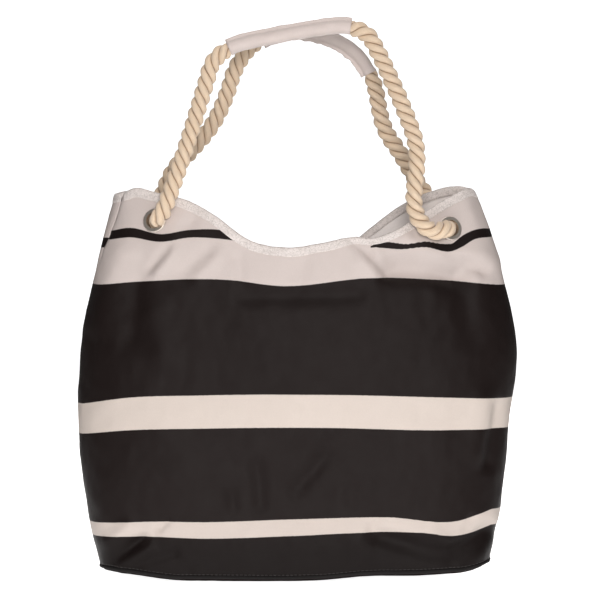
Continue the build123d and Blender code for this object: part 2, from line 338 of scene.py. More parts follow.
# Each fold is its start across and up, its end, its half width and its depth: valleys are under 0.
FOLDS = {
    "front": (
        (0.05, 0.345, 0.074, 0.326, 0.0045, -0.0022), (0.072, 0.328, 0.092, 0.307, 0.005, -0.003),
        (0.06, 0.328, 0.078, 0.308, 0.0085, 0.0018), (0.088, 0.331, 0.122, 0.322, 0.01, -0.0016),
        (0.15, 0.329, 0.192, 0.309, 0.0055, -0.0032), (0.16, 0.34, 0.203, 0.318, 0.0095, 0.0022),
        (0.18, 0.38, 0.191, 0.35, 0.006, -0.0016), (0.168, 0.38, 0.174, 0.358, 0.007, 0.0012),
        (0.12, 0.326, 0.14, 0.29, 0.012, 0.0016), (0.163, 0.305, 0.176, 0.235, 0.013, -0.0022),
        (-0.128, 0.338, -0.151, 0.311, 0.005, -0.0026), (-0.121, 0.336, -0.143, 0.306, 0.007, 0.0018),
        (-0.103, 0.362, -0.122, 0.352, 0.007, -0.002), (-0.095, 0.372, -0.066, 0.345, 0.007, 0.0012),
        (-0.086, 0.334, -0.119, 0.306, 0.008, -0.0016), (-0.076, 0.332, -0.104, 0.304, 0.008, 0.0013),
        (-0.06, 0.33, -0.056, 0.296, 0.007, -0.0013), (0.006, 0.326, 0.002, 0.298, 0.008, -0.0012),
        (-0.158, 0.33, -0.168, 0.235, 0.013, -0.002), (-0.176, 0.34, -0.205, 0.25, 0.011, 0.0018),
        (-0.06, 0.286, 0.066, 0.288, 0.009, -0.0026), (-0.15, 0.28, -0.13, 0.215, 0.014, 0.0016),
        (-0.04, 0.124, -0.037, 0.072, 0.0075, -0.002), (0.032, 0.132, -0.006, 0.088, 0.0085, -0.0022),
        (-0.066, 0.094, -0.064, 0.07, 0.006, -0.0012), (0.055, 0.1, 0.053, 0.072, 0.007, -0.0012),
        (0.204, 0.18, 0.192, 0.112, 0.008, -0.003), (0.186, 0.195, 0.178, 0.12, 0.012, 0.0018),
        (-0.142, 0.051, -0.129, 0.062, 0.0035, -0.0018), (-0.152, 0.047, -0.19, 0.014, 0.006, -0.0038),
        (-0.146, 0.036, -0.182, 0.014, 0.006, 0.0024), (-0.12, 0.03, -0.176, 0.011, 0.005, -0.0018),
        (-0.164, 0.06, -0.196, 0.034, 0.008, 0.002), (0.074, 0.049, 0.152, 0.022, 0.011, -0.0048),
        (0.152, 0.022, 0.196, 0.054, 0.01, -0.0054), (0.136, 0.05, 0.154, 0.04, 0.007, 0.002),
        (0.15, 0.006, 0.188, 0.026, 0.007, 0.0022), (0.071, 0.052, 0.08, 0.064, 0.0045, -0.0016),
        (0.166, 0.05, 0.176, 0.066, 0.005, -0.0016), (-0.04, 0.3, 0.03, 0.165, 0.045, 0.0018),
        (0.08, 0.15, -0.04, 0.06, 0.04, -0.0016), (0.088, 0.316, 0.172, 0.308, 0.013, -0.0085),
        (0.098, 0.343, 0.16, 0.336, 0.009, 0.002),
    ),
    "back": (
        (-0.13, 0.345, -0.08, 0.308, 0.008, -0.0028), (0.132, 0.345, 0.085, 0.312, 0.008, -0.0026),
        (-0.12, 0.336, -0.095, 0.3, 0.009, 0.0018), (0.12, 0.34, 0.1, 0.3, 0.009, 0.0018),
        (0.15, 0.34, 0.168, 0.23, 0.013, 0.0022), (0.172, 0.33, 0.188, 0.24, 0.011, -0.0022),
        (-0.15, 0.34, -0.16, 0.22, 0.013, 0.002), (-0.172, 0.33, -0.186, 0.25, 0.011, -0.002),
        (-0.055, 0.322, -0.03, 0.285, 0.009, -0.0016), (0.02, 0.32, 0.01, 0.28, 0.009, -0.0016),
        (-0.185, 0.03, -0.14, 0.065, 0.007, -0.0034), (0.15, 0.048, 0.19, 0.016, 0.007, -0.0036),
        (-0.178, 0.018, -0.13, 0.04, 0.007, 0.0022), (0.14, 0.036, 0.178, 0.012, 0.007, 0.0022),
        (-0.02, 0.3, 0.06, 0.12, 0.04, 0.002), (-0.09, 0.22, -0.01, 0.08, 0.04, -0.002),
        (0.06, 0.12, 0.04, 0.06, 0.009, -0.002), (-0.07, 0.13, -0.085, 0.07, 0.01, -0.0018),
    ),
}


def panel_grid(side):
    """Outer surface of a panel with its folds, as rows of points from the bottom seam to the rim."""
    s = np.linspace(0.0, 1.0, COLUMNS)
    t = np.linspace(0.0, 1.0, ROWS)[:, None]
    top = np.full_like(s, 0.375)
    for _ in range(6):
        top = smooth(RIM[side], shell_point(share_of(side, s, top), top)[..., 0])
    foot = BASE_SEAM + smooth(BASE_LIFT[side], shell_point(share_of(side, s, 0.0), 0.0)[..., 0])
    z = foot[None, :] + t * (top - foot)[None, :]
    grid = shell_point(share_of(side, s[None, :], z), z)
    normal = grid_normals(grid, side)
    x = grid[..., 0]
    seam = np.minimum(s, 1 - s)[None, :] * 0.5
    inside = ease(seam / 0.045)
    low = ease((z - foot[None, :]) / 0.035)
    depth = 0.003 * noise_field(grid, (0.1, 0.1, 0.13), 1) * (0.35 + 0.65 * inside)
    depth += 0.0014 * noise_field(grid, (0.03, 0.03, 0.055), 2)
    depth += 0.0006 * noise_field(grid, (0.012, 0.012, 0.016), 3)
    depth += FOLD_STRENGTH * sum(fold(x, z, *line) for line in FOLDS[side]) * (0.3 + 0.7 * inside)
    # The cloth is drawn in along the side seams, with short puckers.
    pucker = 0.0006 * noise_field(grid, (0.02, 0.02, 0.007), 4)
    depth -= (0.0012 - pucker) * np.exp(-(seam / 0.004) ** 2)
    depth *= 0.25 + 0.75 * low
    # Puckers above the bottom seam.
    gap = (z - foot[None, :]) / 0.01
    depth += 0.0008 * noise_field(grid * [1, 1, 0.2], (0.009, 0.009, 0.02), 5) * np.exp(-gap ** 2)
    grid = grid + normal * depth[..., None]
    return settle_eyelets(side, grid)


def settle_eyelets(side, grid):
    """Lays the cloth flat under each eyelet's rim and opens a round hole for it."""
    for end in ENDS:
        seat, out = SEATS[side, end]
        seat, out = np.array(seat), np.array(out)
        offset = grid - seat
        height = offset @ out
        aside = offset - height[..., None] * out
        radius = np.linalg.norm(aside, axis=-1)
        near = (1 - ease((radius - 0.0135) / 0.034)) * (np.abs(height) < 0.04)
        grid = grid - (near * (height + 0.0001))[..., None] * out
        snap = near * ((radius > 0.008) & (radius < 0.0119))
        spread = aside / np.maximum(radius, 1e-9)[..., None] * (0.0104 - radius)[..., None]
        grid = grid + spread * (snap > 0.99)[..., None]
    return grid


GRID = {side: panel_grid(side) for side in SIDES}
NORMAL = {side: grid_normals(GRID[side], side) for side in SIDES}


def sample(side, s, t, depth=0.0):
    """Point of a panel at s across and t up, sunk by depth under its outer face, and the normal there."""
    c = np.clip(s, 0, 1) * (COLUMNS - 1.001)
    r = np.clip(t, 0, 1) * (ROWS - 1.001)
    ci, ri = c.astype(int), r.astype(int)
    cf, rf = (c - ci)[..., None], (r - ri)[..., None]

    def blend(table):
        low = table[ri, ci] * (1 - cf) + table[ri, ci + 1] * cf
        high = table[ri + 1, ci] * (1 - cf) + table[ri + 1, ci + 1] * cf
        return low * (1 - rf) + high * rf

    normal = unit(blend(NORMAL[side]))
    return blend(GRID[side]) - normal * np.asarray(depth)[..., None], normal


# ---------------------------------------------------------------- mesh helpers
def new_mesh(name, points, faces, material, smooth_faces=True):
    """A mesh object from points and faces."""
    mesh = bpy.data.meshes.new(name)
    mesh.from_pydata([tuple(map(float, p)) for p in points], [], faces)
    mesh.materials.append(material)
    mesh.shade_smooth() if smooth_faces else mesh.shade_flat()
    thing = bpy.data.objects.new(name, mesh)
    bpy.context.scene.collection.objects.link(thing)
    return thing


def dress(piece, body="bag"):
    """Makes a piece ride on a body."""
    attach(piece, body)


def stand_in(piece, node, body="bag"):
    """Puts a piece in a CAD node's place."""
    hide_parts(node)
    dress(piece, body)


def add_uv(thing, name, values):
    """A UV layer from one pair of numbers per vertex."""
    layer = thing.data.uv_layers.new(name=name)
    index = np.empty(len(thing.data.loops), np.int32)
    thing.data.loops.foreach_get("vertex_index", index)
    layer.data.foreach_set("uv", np.asarray(values, np.float32)[index].ravel())


def grid_faces(rows, columns, flip=False, wrap=False):
    """Quads of a rows by columns grid of points."""
    r, c = np.meshgrid(np.arange(rows - 1), np.arange(columns if wrap else columns - 1), indexing="ij")
    a = r * columns + c
    b = r * columns + (c + 1) % columns
    quads = np.stack([a, b, b + columns, a + columns], -1).reshape(-1, 4)
    return (quads[:, ::-1] if flip else quads).tolist()


def thicken(thing, thickness, offset=-1.0, even=True):
    """Gives a sheet its thickness: inwards, or outwards with an offset of 1."""
    layer = thing.modifiers.new("thickness", "SOLIDIFY")
    layer.thickness = thickness
    layer.offset = offset
    layer.use_even_offset = even


def loft(name, sections, material, closed=False, flip=False):
    """A closed mesh through rings of points: sections is rings by points by 3."""
    rings, count = sections.shape[:2]
    faces = grid_faces(rings, count, flip, wrap=True)
    if closed:
        last = (rings - 1) * count
        joins = [[last + k, last + (k + 1) % count, (k + 1) % count, k] for k in range(count)]
        faces += [j[::-1] for j in joins] if flip else joins
    else:
        first = list(range(count))
        last = [(rings - 1) * count + k for k in range(count)]
        faces += [first if flip else first[::-1], last[::-1] if flip else last]
    thing = new_mesh(name, sections.reshape(-1, 3), faces, material)
    add_uv(thing, "cloth", length_uv(line_length(sections.mean(1)), line_length(sections[rings // 2])))
    return thing


def line_frames(line):
    """Tangents and two untwisted cross directions along a line."""
    tangent = unit(np.gradient(line, axis=0))
    side = np.cross(tangent[0], (0.0, 0.0, 1.0))
    side = np.cross(tangent[0], (1.0, 0.0, 0.0)) if np.linalg.norm(side) < 0.1 else side
    sides = []
    for t in tangent:
        side = side - t * (side @ t)
        side = side / np.linalg.norm(side)
        sides.append(side)
    sides = np.array(sides)
    return tangent, sides, np.cross(tangent, sides)


def line_length(line):
    """Distance along a line to each of its points."""
    return np.concatenate([[0.0], np.cumsum(np.linalg.norm(np.diff(line, axis=0), axis=1))])


def length_uv(along, across):
    """Every pair of a distance along and a distance across, one per point of a grid."""
    return np.stack(np.broadcast_arrays(along[:, None], across[None, :]), -1).reshape(-1, 2)


def stitch_row(name, line, normals, material, length=0.0032, gap=0.001, radius=0.00032, lift=0.00012):
    """A row of stitches along a line on cloth, each a bead whose ends dip into the cloth."""
    along = line_length(line)
    count = int(along[-1] / (length + gap))
    points, faces = [], []
    sides = 6
    for k in range(count):
        start = (k + 0.5) * along[-1] / count - length / 2
        places = np.array([0.0, 0.14, 0.5, 0.86, 1.0])
        centres = np.stack([np.interp(start + places * length, along, line[:, i]) for i in range(3)], 1)
        up = unit(np.array([np.interp(start + length / 2, along, normals[:, i]) for i in range(3)]))
        ahead = unit(centres[-1] - centres[0])
        aside = np.cross(ahead, up)
        dips = np.array([-0.9, -0.15, 0.25, -0.15, -0.9]) * radius + lift
        sizes = np.array([0.45, 0.9, 1.0, 0.9, 0.45]) * radius
        base = len(points)
        for centre, dip, size in zip(centres, dips, sizes):
            for j in range(sides):
                a = 2 * math.pi * j / sides
                points.append(centre + up * (dip + math.sin(a) * size) + aside * math.cos(a) * size)
        faces += [[base + i for i in face] for face in STITCH_FACES]
    return new_mesh(name, points, faces, material)


STITCH_FACES = grid_faces(5, 6, wrap=True) + [[5, 4, 3, 2, 1, 0], [24, 25, 26, 27, 28, 29]]


# ---------------------------------------------------------------- materials
def put(tree, kind, settings=None, **inputs):
    """A shader node with its settings, and its inputs set to numbers or linked from sockets."""
    made = tree.nodes.new("ShaderNode" + kind)
    for key, value in (settings or {}).items():
        setattr(made, key, value)
    for key, value in inputs.items():
        name = key.replace("_", " ")
        socket = made.inputs[int(key[1:])] if key[1:].isdigit() else made.inputs[name]
        if isinstance(value, bpy.types.NodeSocket):
            tree.links.new(value, socket)
        else:
            socket.default_value = value
    return made


def calc(tree, operation, *values):
    """A math node's result."""
    inputs = {f"i{k}": value for k, value in enumerate(values)}
    return put(tree, "Math", {"operation": operation}, **inputs).outputs[0]


def step(tree, value, low, high):
    """0 under low, 1 over high, smooth between."""
    return put(tree, "MapRange", {"interpolation_type": "SMOOTHSTEP"}, i0=value, i1=low, i2=high).outputs[0]


def mix(tree, factor, a, b):
    """Colour a where the factor is 0, b where it is 1."""
    made = put(tree, "Mix", {"data_type": "RGBA"}, i0=factor)
    for socket, value in ((made.inputs[6], a), (made.inputs[7], b)):
        if isinstance(value, bpy.types.NodeSocket):
            tree.links.new(value, socket)
        else:
            socket.default_value = (*value, 1.0)
    return made.outputs[2]


def new_material(name, **surface):
    """A material with a principled surface."""
    made = bpy.data.materials.new(name)
    made.use_nodes = True
    shader = made.node_tree.nodes["Principled BSDF"]
    for key, value in surface.items():
        shader.inputs[key.replace("_", " ")].default_value = value
    return made, made.node_tree, shader


def noise_value(tree, vector, scale, detail=3.0, rough=0.55):
    """Noise from 0 to 1."""
    made = put(tree, "TexNoise", None, Vector=vector, Scale=scale, Detail=detail, Roughness=rough)
    return made.outputs["Fac"]


def uv_parts(tree, name):
    """The vector of a UV layer and its two numbers."""
    layer = put(tree, "UVMap", {"uv_map": name}).outputs[0]
    split = put(tree, "SeparateXYZ", None, Vector=layer).outputs
    return layer, split[0], split[1]


def weave_height(tree, u, v, pitch):
    """Over-and-under threads of a plain weave."""
    turn = 2 * math.pi / pitch
    across = calc(tree, "SINE", calc(tree, "MULTIPLY", u, turn))
    along = calc(tree, "SINE", calc(tree, "MULTIPLY", v, turn))
    return calc(tree, "MULTIPLY", across, along)


def bump(tree, height, strength, distance, under=None):
    """Normal from a height, in metres."""
    inputs = {"Height": height, "Strength": strength, "Distance": distance}
    if under is not None:
        inputs["Normal"] = under
    return put(tree, "Bump", None, **inputs).outputs[0]


def cloth_material(name, dark, light, pitch=0.0011, wrinkle=0.0004, grain=0.05, rough=0.7, sheen=0.2,
                   colour=None, shine=0.28):
    """Woven cloth: thread bump, small wrinkles, mottled colour, with the weave's threads painted into the
    colour as slight shade. colour, if given, makes the base colour.
    """
    made, tree, shader = new_material(name, Roughness=rough, Sheen_Weight=sheen, Sheen_Roughness=0.4,
                                      Specular_IOR_Level=shine)
    _, u, v = uv_parts(tree, "cloth")
    place = put(tree, "TexCoord").outputs["Object"]
    base = colour(tree) if colour else mix(tree, noise_value(tree, place, 34.0), dark, light)
    weave = weave_height(tree, u, v, pitch)
    fleck = noise_value(tree, place, 900.0, 2.0)
    shade = calc(tree, "MULTIPLY_ADD", fleck, grain * 2, 1.0 - grain)
    # The weave's over-and-under threads painted as slight shade in the colour, over random flecks.
    shade = calc(tree, "MULTIPLY_ADD", weave, grain * 0.5, shade)
    toned = put(tree, "VectorMath", {"operation": "SCALE"}, i0=base, i3=shade).outputs[0]
    tree.links.new(toned, shader.inputs["Base Color"])
    normal = bump(tree, noise_value(tree, place, 95.0, 4.0, 0.6), 0.7, wrinkle)
    tree.links.new(bump(tree, weave, 0.6, 0.00008, normal), shader.inputs["Normal"])
    tree.links.new(calc(tree, "MULTIPLY_ADD", noise_value(tree, place, 60.0), 0.2, rough - 0.1),
                   shader.inputs["Roughness"])
    return made


BLACK = (0.0088, 0.0052, 0.0047)
UPPER_WHITE = (0.59, 0.524, 0.5)
MIDDLE_WHITE = (0.602, 0.534, 0.486)
LOWER_WHITE = (0.545, 0.482, 0.442)
STRIPES = ((-0.01, 0.0462), (0.0635, 0.1545), (0.1885, 0.3005), (0.3395, 0.3492))


def striped(tree):
    """Colour of the striped cloth from the stripe height."""
    _, thin, height = uv_parts(tree, "stripe")
    place = put(tree, "TexCoord").outputs["Object"]
    edge = calc(tree, "MULTIPLY_ADD", noise_value(tree, place, 700.0, 1.0), 0.0005, height)
    edge = calc(tree, "SUBTRACT", edge, 0.00025)
    black = None
    for low, high in STRIPES:
        band = calc(tree, "SUBTRACT", step(tree, edge, low - 0.0004, low + 0.0004),
                    step(tree, edge, high - 0.0004, high + 0.0004))
        band = calc(tree, "MULTIPLY", band, step(tree, thin, 0.4, 0.6)) if low > 0.32 else band
        black = band if black is None else calc(tree, "ADD", black, band)
    mottle = noise_value(tree, place, 14.0, 3.0)
    white = mix(tree, step(tree, height, 0.08, 0.14), LOWER_WHITE, MIDDLE_WHITE)
    white = mix(tree, step(tree, height, 0.2, 0.29), white, UPPER_WHITE)
    white = mix(tree, calc(tree, "MULTIPLY", mottle, 0.16), white, (0.52, 0.44, 0.4))
    ink = mix(tree, mottle, BLACK, (0.012, 0.008, 0.0076))
    ink = mix(tree, step(tree, height, 0.02, 0.075), (0.0066, 0.0041, 0.0038), ink)
    return mix(tree, black, white, ink)


def crinkle_shaded_hem(tree):
    """Colour of the hem: pale and mottled, with fine grey lines painted as shade in its crinkles."""
    place = put(tree, "TexCoord").outputs["Object"]
    first = calc(tree, "ABSOLUTE", calc(tree, "SUBTRACT", noise_value(tree, place, 260.0, 3.0, 0.6), 0.5))
    second = calc(tree, "ABSOLUTE", calc(tree, "SUBTRACT", noise_value(tree, place, 520.0, 2.0, 0.6), 0.5))
    # Thin dark lines painted as the shade in the hem's crinkles.
    painted_crease_shade = calc(tree, "MULTIPLY", step(tree, first, 0.0, 0.04), step(tree, second, 0.0, 0.025))
    pale = mix(tree, noise_value(tree, place, 150.0, 2.0), (0.68, 0.62, 0.595), (0.8, 0.745, 0.72))
    return mix(tree, painted_crease_shade, (0.52, 0.475, 0.45), pale)


def rope_material():
    """Twisted cotton: painted shade in the grooves between strands and between the yarns, fine yarns, stray
    fibres and uneven colour.
    """
    made, tree, shader = new_material("rope_cotton", Roughness=0.85, Sheen_Weight=0.35, Sheen_Roughness=0.5,
                                      Specular_IOR_Level=0.2)
    _, turn, along = uv_parts(tree, "strand")
    _, depth, number = uv_parts(tree, "groove")
    place = put(tree, "TexCoord").outputs["Object"]
    tone = noise_value(tree, place, 45.0, 3.0)
    light = mix(tree, tone, (0.82, 0.655, 0.49), (0.92, 0.775, 0.61))
    yarn_turn = calc(tree, "MULTIPLY", turn, 2 * math.pi * YARNS)
    yarn_turn = calc(tree, "MULTIPLY_ADD", along, 2 * math.pi / YARN_LAY, yarn_turn)
    yarn = calc(tree, "MULTIPLY_ADD", calc(tree, "SINE", yarn_turn), 0.5, 0.5)
    fibre_place = put(tree, "CombineXYZ", None, X=calc(tree, "MULTIPLY", turn, 46.0),
                      Y=calc(tree, "MULTIPLY_ADD", turn, 7.0, calc(tree, "MULTIPLY", along, 260.0)),
                      Z=number).outputs[0]
    fibre = noise_value(tree, fibre_place, 1.6, 4.0, 0.65)
    # Painted shade between the yarns: darker where the yarn bump is low.
    between = calc(tree, "MULTIPLY", calc(tree, "SUBTRACT", 1.0, yarn), 0.3)
    dark = mix(tree, between, light, (0.5, 0.35, 0.21))
    dark = mix(tree, calc(tree, "MULTIPLY", fibre, 0.45), dark, (0.56, 0.4, 0.26))
    # Painted shade in the grooves between the strands.
    groove_shaded = mix(tree, step(tree, depth, 0.34, 1.0), dark, (0.34, 0.215, 0.125))
    tree.links.new(groove_shaded, shader.inputs["Base Color"])
    normal = bump(tree, yarn, 0.8, 0.00022)
    tree.links.new(bump(tree, fibre, 0.8, 0.0003, normal), shader.inputs["Normal"])
    return made


def metal_material():
    """Polished nickel with fine scratches and a dulled patina."""
    made, tree, shader = new_material("eyelet_nickel", Metallic=1.0, Roughness=0.2)
    place = put(tree, "TexCoord").outputs["Object"]
    blot = noise_value(tree, place, 260.0, 4.0)
    tree.links.new(mix(tree, blot, (0.88, 0.82, 0.76), (0.66, 0.59, 0.51)), shader.inputs["Base Color"])
    tree.links.new(calc(tree, "MULTIPLY_ADD", blot, 0.22, 0.26), shader.inputs["Roughness"])
    stretch = put(tree, "Mapping", None, Vector=place, Scale=(900.0, 900.0, 4000.0)).outputs[0]
    tree.links.new(bump(tree, noise_value(tree, stretch, 1.0, 2.0), 0.15, 0.00005), shader.inputs["Normal"])
    return made


CANVAS_PRINT = cloth_material("striped_canvas", None, None, colour=striped, rough=0.5, sheen=0.0, shine=0.12)
BASE_CLOTH = cloth_material("black_canvas", BLACK, (0.013, 0.0095, 0.009), sheen=0.0, shine=0.06)
PIPING_CLOTH = cloth_material("black_piping", (0.008, 0.007, 0.007), (0.014, 0.012, 0.012), pitch=0.0008,
                              sheen=0.0, shine=0.12)
TAPE_CLOTH = cloth_material("seam_tape_cloth", (0.62, 0.58, 0.55), (0.7, 0.66, 0.63), pitch=0.0014)
LINING_CLOTH = cloth_material("pale_lining", (0.78, 0.725, 0.7), (0.87, 0.82, 0.8), pitch=0.0007, rough=0.5,
                              wrinkle=0.0006, sheen=0.25)
HEM_CLOTH = cloth_material("pale_hem", None, None, pitch=0.0008, rough=0.42, wrinkle=0.001, sheen=0.15,
                           colour=crinkle_shaded_hem)
GRIP_CLOTH = cloth_material("pale_grip", (0.6, 0.52, 0.49), (0.7, 0.62, 0.59), pitch=0.0008, rough=0.5,
                            wrinkle=0.0006, sheen=0.25)
PALE_THREAD = cloth_material("pale_thread", (0.66, 0.6, 0.59), (0.78, 0.73, 0.71), pitch=0.0005, rough=0.55)
DARK_THREAD = cloth_material("dark_thread", (0.02, 0.018, 0.018), (0.04, 0.036, 0.035), pitch=0.0005,
                             rough=0.5)
ROPE = rope_material()
NICKEL = metal_material()

for side in SIDES:
    for end in ENDS:
        for part in ("eyelet", "washer"):
            data = NODES[f"{side}_{end}_{part}"].data
            for index in range(max(1, len(data.materials))):
                if index < len(data.materials):
                    data.materials[index] = NICKEL
                else:
                    data.materials.append(NICKEL)


# ---------------------------------------------------------------- panels and linings
def stripe_height(side, grid):
    """Nominal stripe height of each point of a panel."""
    x, z = grid[..., 0], grid[..., 2]
    edges = STRIPE_EDGES[side]
    value = np.zeros_like(z)
    below = np.zeros_like(z)
    for (low, _), (high, line) in zip(edges, edges[1:]):
        above = smooth(line, x)
        share = np.clip((z - below) / np.maximum(above - below, 1e-6), 0, 1)
        value = np.where(z > below, low + (high - low) * share, value)
        below = above
    return value


def open_holes(side, grid, faces, reach):
    """The faces that aren't inside an eyelet's hole."""
    flat = grid.reshape(-1, 3)
    quads = np.array(faces)
    centres = flat[quads].mean(1)
    keep = np.ones(len(quads), bool)
    for end in ENDS:
        seat, out = (np.array(v) for v in SEATS[side, end])
        offset = centres - seat
        height = offset @ out
        radius = np.linalg.norm(offset - height[:, None] * out, axis=1)
        keep &= ~((radius < reach) & (np.abs(height) < 0.02))
    return quads[keep].tolist()


def cloth_uv(grid):
    """Distance across and height of each point, in metres."""
    across, up = (np.cumsum(np.linalg.norm(np.diff(grid, axis=a), axis=2), a) for a in (1, 0))
    across = np.concatenate([np.zeros((len(grid), 1)), across], 1)
    across -= across.mean(1, keepdims=True)
    up = np.concatenate([np.zeros((1, grid.shape[1])), up], 0)
    return np.stack([across, up], -1).reshape(-1, 2)


def without_loose(thing):
    """Drops vertices that no face uses."""
    mesh = thing.data
    used = set()
    for face in mesh.polygons:
        used.update(face.vertices)
    if len(used) < len(mesh.vertices):
        work = bmesh.new()
        work.from_mesh(mesh)
        bmesh.ops.delete(work, geom=[v for v in work.verts if not v.link_faces], context="VERTS")
        work.to_mesh(mesh)
        work.free()


for side in SIDES:
    faces = open_holes(side, GRID[side], grid_faces(ROWS, COLUMNS, flip=side == "back"), 0.01)
    panel = new_mesh(f"{side}_panel_cloth", GRID[side].reshape(-1, 3), faces, CANVAS_PRINT)
    add_uv(panel, "cloth", cloth_uv(GRID[side]))
    heights = stripe_height(side, GRID[side])
    thin = np.interp(GRID[side][..., 0], *zip(*THIN_STRIPE[side]))
    add_uv(panel, "stripe", np.stack([thin, heights], -1).reshape(-1, 2))
    without_loose(panel)
    thicken(panel, CANVAS)
    stand_in(panel, f"{side}_panel")

    rows, columns = slice(0, ROWS - 1, 2), slice(0, COLUMNS, 2)
    drop = GRID[side][-1:, :, 2] - GRID[side][..., 2]
    depth = LINING_DEPTH + 0.0005 - 0.0015 * (1 - ease(drop / 0.014))
    inner = (GRID[side] - NORMAL[side] * depth[..., None])[rows, columns]
    for end in ENDS:
        seat, out = (np.array(v) for v in SEATS[side, end])
        offset = inner - seat
        height = offset @ out
        aside = offset - height[..., None] * out
        radius = np.linalg.norm(aside, axis=-1)
        ring = (radius > 0.0078) & (radius < 0.0128) & (np.abs(height) < 0.02)
        inner = inner + (aside / radius[..., None] * (0.0104 - radius)[..., None]) * ring[..., None]
    faces = open_holes(side, inner, grid_faces(*inner.shape[:2], flip=side == "back"), 0.0098)
    lining = new_mesh(f"{side}_lining_cloth", inner.reshape(-1, 3), faces, LINING_CLOTH)
    add_uv(lining, "cloth", cloth_uv(inner))
    without_loose(lining)
    thicken(lining, LINING_THICK)
    stand_in(lining, f"{side}_lining")


# ---------------------------------------------------------------- hems
def walk(side, s, t, below):
    """Places on a panel, measured down across its surface from places on its rim."""
    s, t = np.array(s, float), np.array(t, float)
    steps = 4
    delta = 1e-3
    rim_point, _ = sample(side, s, t)
    ahead = unit(np.gradient(rim_point, axis=0))
    for _ in range(steps):
        here, normal = sample(side, s, t)
        down = unit(np.cross(normal, ahead) if side == "back" else np.cross(ahead, normal))
        down = np.where(down[:, 2:] > 0, -down, down)
        across = (sample(side, s + delta, t)[0] - sample(side, s - delta, t)[0]) / (2 * delta)
        up = (sample(side, s, t)[0] - sample(side, s, t - delta)[0]) / delta
        move = down * (below / steps)[:, None]
        aa, bb, ab = (across ** 2).sum(1), (up ** 2).sum(1), (across * up).sum(1)
        ma, mb = (move * across).sum(1), (move * up).sum(1)
        scale = np.maximum(aa * bb - ab ** 2, 1e-12)
        s = np.clip(s + (ma * bb - mb * ab) / scale, 0, 1)
        t = np.clip(t + (mb * aa - ma * ab) / scale, 0, 1)
    return s, t


def rim_places(side, spacing):
    """Places across a panel that are evenly spaced along its rim."""
    s = np.linspace(0, 1, COLUMNS)
    along = line_length(GRID[side][-1])
    count = int(along[-1] / spacing)
    return np.interp(np.linspace(0, along[-1], count), along, s), np.linspace(0, along[-1], count)


def make_hem(side):
    """Folded and topstitched band round a panel's rim."""
    s, along = rim_places(side, 0.0014)
    top = np.ones_like(s)
    spots = np.stack([along, along * 0, along * 0], -1)
    width = smooth(HEM_WIDTH, GRID[side][-1][:, 0])
    width = np.interp(s, np.linspace(0, 1, COLUMNS), width) + 0.0005 * noise_field(spots, (0.014, 1, 1), 8)
    sections = []
    # Share of the width below the rim, and depth under the cloth's face, round the band.
    profile = [(1.00, 0.0002), (1.00, -HEM_PROUD * 0.8), (0.93, -HEM_PROUD), (0.8, -HEM_PROUD * 0.75),
               (0.62, -HEM_PROUD), (0.44, -HEM_PROUD), (0.27, -HEM_PROUD), (0.12, -HEM_PROUD * 0.9),
               (0.03, -HEM_PROUD * 0.3)]
    inside = [(0.02, 0.0022), (0.1, 0.003), (0.3, 0.0034), (0.6, 0.0038), (0.95, 0.0042), (1.00, 0.0038),
              (1.00, 0.002)]
    for k, (share, depth) in enumerate(profile + inside):
        ps, pt = walk(side, s, top, width * share)
        crinkle = noise_field(np.stack([along, share * width, along * 0 + (k > 8)], -1),
                              (0.0036, 0.005, 1), 9)
        crinkle = 0.0006 * crinkle * math.sin(math.pi * share)
        point, _ = sample(side, ps, pt, depth + (-crinkle if k <= 8 else crinkle))
        sections.append(point)
        if k == 8:
            crown, _ = sample(side, s, top, 0.0008)
            lift = 0.0011 + 0.0003 * noise_field(spots, (0.006, 1, 1), 10)
            sections.append(crown + np.array([0, 0, 1]) * lift[:, None])
    band = loft(f"{side}_hem_band", np.stack(sections, 1), HEM_CLOTH, flip=side == "front")
    stand_in(band, f"{side}_hem")
    for name, share, depth, sign in (("outer", 0.8, -HEM_PROUD * 0.75, 1), ("inner", 0.8, 0.0041, -1)):
        ps, pt = walk(side, s, top, width * share)
        line, normal = sample(side, ps, pt, depth)
        row = stitch_row(f"{side}_hem_{name}_stitches", line, normal * sign, PALE_THREAD)
        dress(row)


for side in SIDES:
    make_hem(side)


# ---------------------------------------------------------------- bottom and side seams
def foot_loop(depth=0.0, count=180):
    """Points all round the panels' bottom edge, sunk by depth, with their outward directions."""
    s = np.linspace(0, 1, count, endpoint=False)
    front, front_normal = sample("front", s, s * 0, depth)
    back, back_normal = sample("back", 1 - s, s * 0, depth)
    line = np.concatenate([front, back])
    normal = np.concatenate([front_normal, back_normal])
    normal[:, 2] = 0
    return line, unit(normal)


def loop_frames(line):
    """Tangents of a closed loop of points."""
    return unit(np.roll(line, -1, axis=0) - np.roll(line, 1, axis=0))


def lift_at(points):
    """How far the bottom lifts off the ground under an array of points."""
    share = np.clip(0.5 + points[..., 1] / (2 * HALF_DEPTH[0][1]), 0, 1)
    front, back = (smooth(BASE_LIFT[side], points[..., 0]) for side in SIDES)
    return front * (1 - share) + back * share


